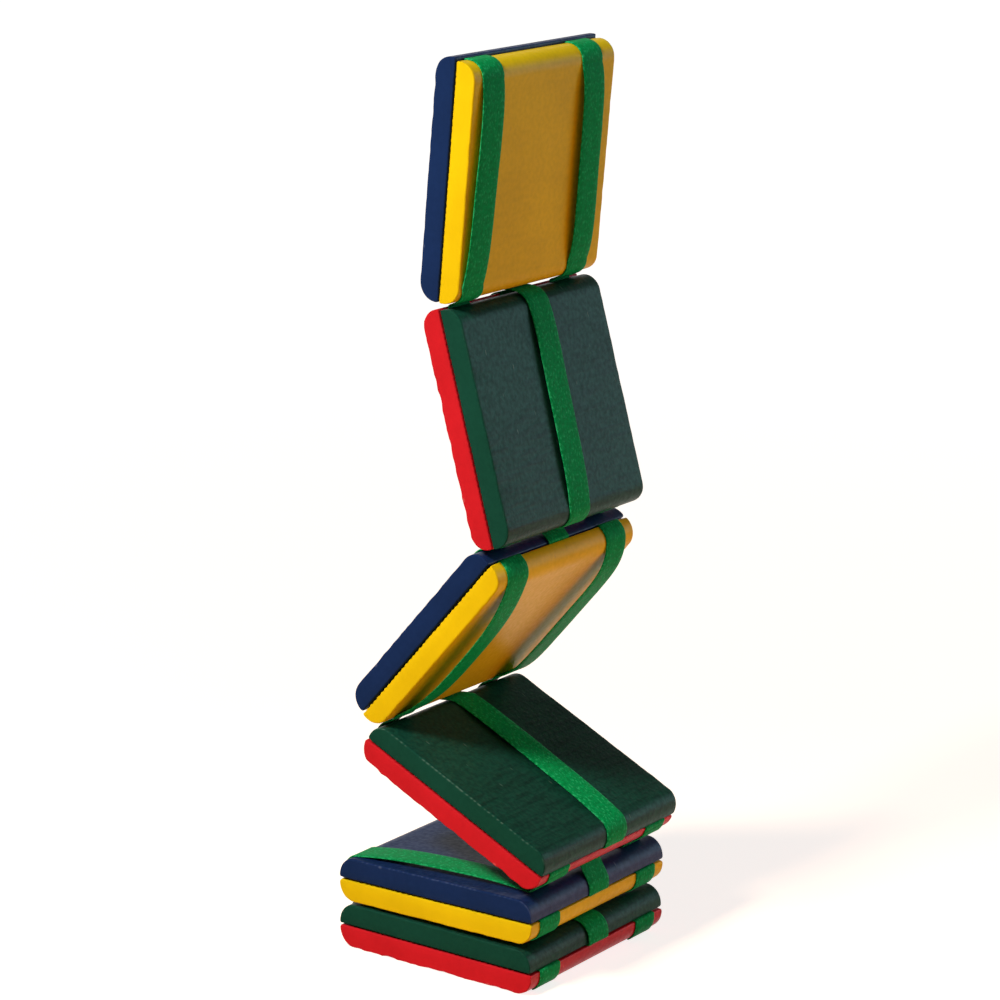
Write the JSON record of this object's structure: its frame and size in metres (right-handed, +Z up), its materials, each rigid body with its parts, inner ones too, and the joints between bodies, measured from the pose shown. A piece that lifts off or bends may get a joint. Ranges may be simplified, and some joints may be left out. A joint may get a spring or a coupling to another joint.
{
  "type": "jacobs ladder toy",
  "caption": "Jacob's ladder toy: a chain of painted wooden blocks joined by crossing green ribbons, so that each block rolls over the end of the next and folds flat against it.",
  "frame": {"origin": "middle of the underside of block 6, the block that lies flat on the table", "axes": "+Z up from the table, X along the length of block 6 towards its bottom end, Y across the blocks and along the hinge axes"},
  "size_m": [0.0582, 0.054, 0.2095],
  "materials": {
    "yellow_paint": "gloss paint on a sawn wooden slat",
    "blue_paint": "gloss paint on a sawn wooden slat",
    "red_paint": "gloss paint on a sawn wooden slat",
    "green_paint": "gloss paint on a sawn wooden slat",
    "green_ribbon": "woven satin ribbon",
    "wood_glue": "dried wood glue"
  },
  "bodies": {
    "block_1": {"block_1_yellow_slat": "yellow_paint", "block_1_blue_slat": "blue_paint", "block_1_glue_film": "wood_glue", "block_1_left_ribbon": "green_ribbon", "block_1_centre_ribbon": "green_ribbon", "block_1_right_ribbon": "green_ribbon"},
    "block_2": {"block_2_green_slat": "green_paint", "block_2_red_slat": "red_paint", "block_2_glue_film": "wood_glue", "block_2_left_ribbon": "green_ribbon", "block_2_centre_ribbon": "green_ribbon", "block_2_right_ribbon": "green_ribbon"},
    "block_3": {"block_3_yellow_slat": "yellow_paint", "block_3_blue_slat": "blue_paint", "block_3_glue_film": "wood_glue", "block_3_left_ribbon": "green_ribbon", "block_3_centre_ribbon": "green_ribbon", "block_3_right_ribbon": "green_ribbon", "block_3_left_slack_ribbon": "green_ribbon", "block_3_right_slack_ribbon": "green_ribbon"},
    "block_4": {"block_4_green_slat": "green_paint", "block_4_red_slat": "red_paint", "block_4_glue_film": "wood_glue", "block_4_left_ribbon": "green_ribbon", "block_4_centre_ribbon": "green_ribbon", "block_4_right_ribbon": "green_ribbon"},
    "block_5": {"block_5_yellow_slat": "yellow_paint", "block_5_blue_slat": "blue_paint", "block_5_glue_film": "wood_glue", "block_5_left_ribbon": "green_ribbon", "block_5_centre_ribbon": "green_ribbon", "block_5_right_ribbon": "green_ribbon"},
    "block_6": {"block_6_green_slat": "green_paint", "block_6_red_slat": "red_paint", "block_6_glue_film": "wood_glue", "block_6_left_ribbon": "green_ribbon", "block_6_centre_ribbon": "green_ribbon", "block_6_right_ribbon": "green_ribbon"},
    "ribbon_hinge_12": {"hinge_12_left_ribbon": "green_ribbon", "hinge_12_centre_ribbon": "green_ribbon", "hinge_12_right_ribbon": "green_ribbon"},
    "ribbon_hinge_23": {"hinge_23_left_ribbon": "green_ribbon", "hinge_23_centre_ribbon": "green_ribbon", "hinge_23_right_ribbon": "green_ribbon"},
    "ribbon_hinge_34": {"hinge_34_left_ribbon": "green_ribbon", "hinge_34_centre_ribbon": "green_ribbon", "hinge_34_right_ribbon": "green_ribbon"},
    "ribbon_hinge_45": {"hinge_45_left_ribbon": "green_ribbon", "hinge_45_centre_ribbon": "green_ribbon", "hinge_45_right_ribbon": "green_ribbon"},
    "ribbon_hinge_56": {"hinge_56_left_ribbon": "green_ribbon", "hinge_56_centre_ribbon": "green_ribbon", "hinge_56_right_ribbon": "green_ribbon"}
  },
  "joints": [
    {"name": "hinge_56", "type": "hinge", "parent": "block_6", "child": "ribbon_hinge_56", "pos_m": [-0.023, 0, 0.00655], "axis": [0, -1, 0], "range_deg": [-0.4, 89.6], "deforming": ["hinge_56_left_ribbon", "hinge_56_centre_ribbon", "hinge_56_right_ribbon"]},
    {"name": "hinge_56_roll", "type": "hinge", "parent": "ribbon_hinge_56", "child": "block_5", "pos_m": [-0.02306, 0, 0.0153], "axis": [0, -1, 0], "range_deg": [-0.4, 89.6]},
    {"name": "hinge_45", "type": "hinge", "parent": "block_5", "child": "ribbon_hinge_45", "pos_m": [0.0229, 0, 0.01849], "axis": [0, 1, 0], "range_deg": [-13, 77], "deforming": ["hinge_45_left_ribbon", "hinge_45_centre_ribbon", "hinge_45_right_ribbon"]},
    {"name": "hinge_45_roll", "type": "hinge", "parent": "ribbon_hinge_45", "child": "block_4", "pos_m": [0.02527, 0, 0.02944], "axis": [0, 1, 0], "range_deg": [-13, 77]},
    {"name": "hinge_34", "type": "hinge", "parent": "block_4", "child": "ribbon_hinge_34", "pos_m": [-0.01527, 0, 0.05133], "axis": [0, -1, 0], "range_deg": [-37.25, 52.75], "deforming": ["hinge_34_left_ribbon", "hinge_34_centre_ribbon", "hinge_34_right_ribbon", "block_3_left_slack_ribbon", "block_3_right_slack_ribbon"]},
    {"name": "hinge_34_roll", "type": "hinge", "parent": "ribbon_hinge_34", "child": "block_3", "pos_m": [-0.0171, 0, 0.05989], "axis": [0, -1, 0], "range_deg": [-37.25, 52.75]},
    {"name": "hinge_23", "type": "hinge", "parent": "block_3", "child": "ribbon_hinge_23", "pos_m": [0.01097, 0, 0.09643], "axis": [0, 1, 0], "range_deg": [-61.5, 28.5], "deforming": ["hinge_23_left_ribbon", "hinge_23_centre_ribbon", "hinge_23_right_ribbon"]},
    {"name": "hinge_23_roll", "type": "hinge", "parent": "ribbon_hinge_23", "child": "block_2", "pos_m": [0.01296, 0, 0.10566], "axis": [0, 1, 0], "range_deg": [-61.5, 28.5]},
    {"name": "hinge_12", "type": "hinge", "parent": "block_2", "child": "ribbon_hinge_12", "pos_m": [0.0025, 0, 0.15053], "axis": [0, -1, 0], "range_deg": [-79.5, 10.5], "deforming": ["hinge_12_left_ribbon", "hinge_12_centre_ribbon", "hinge_12_right_ribbon"]},
    {"name": "hinge_12_roll", "type": "hinge", "parent": "ribbon_hinge_12", "child": "block_1", "pos_m": [0.00162, 0, 0.15923], "axis": [0, -1, 0], "range_deg": [-79.5, 10.5]}
  ],
  "couplings": [
    {"joint": "hinge_56_roll", "follows": "hinge_56", "ratio": 1},
    {"joint": "hinge_45_roll", "follows": "hinge_45", "ratio": 1},
    {"joint": "hinge_34_roll", "follows": "hinge_34", "ratio": 1},
    {"joint": "hinge_23_roll", "follows": "hinge_23", "ratio": 1},
    {"joint": "hinge_12_roll", "follows": "hinge_12", "ratio": 1}
  ]
}
